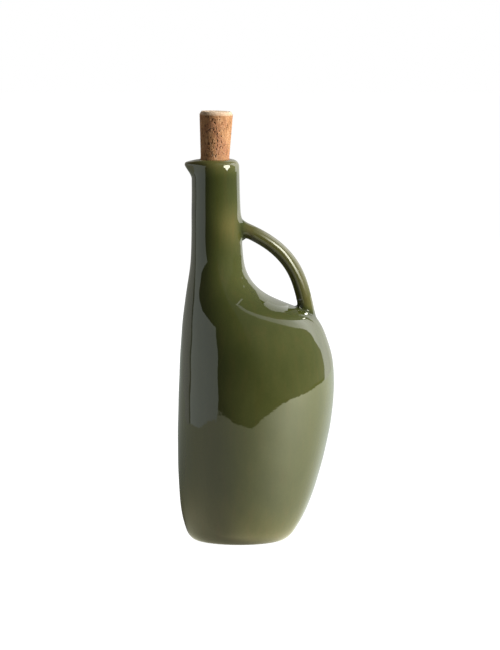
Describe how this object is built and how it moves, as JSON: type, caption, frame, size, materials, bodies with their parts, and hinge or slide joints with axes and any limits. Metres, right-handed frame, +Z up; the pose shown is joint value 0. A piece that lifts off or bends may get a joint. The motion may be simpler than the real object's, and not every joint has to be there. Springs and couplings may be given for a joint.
{
  "type": "stoneware oil bottle",
  "caption": "Glazed stoneware oil bottle with an offset neck, a pulled pouring lip, a loop handle down to its shoulder and a tapered cork stopper.",
  "frame": {"origin": "middle of the flat foot that the bottle stands on", "axes": "+Z up along the neck, +X towards the handle, -X towards the pouring lip, the front-to-back depth along Y"},
  "size_m": [0.1018, 0.089, 0.2793],
  "materials": {
    "olive_glaze": "smooth glossy olive green glaze, thinner and browner on the lip and the foot",
    "natural_cork": "dry natural cork with dark pits"
  },
  "bodies": {
    "root": {"bottle": "olive_glaze", "cork": "natural_cork"}
  },
  "joints": []
}
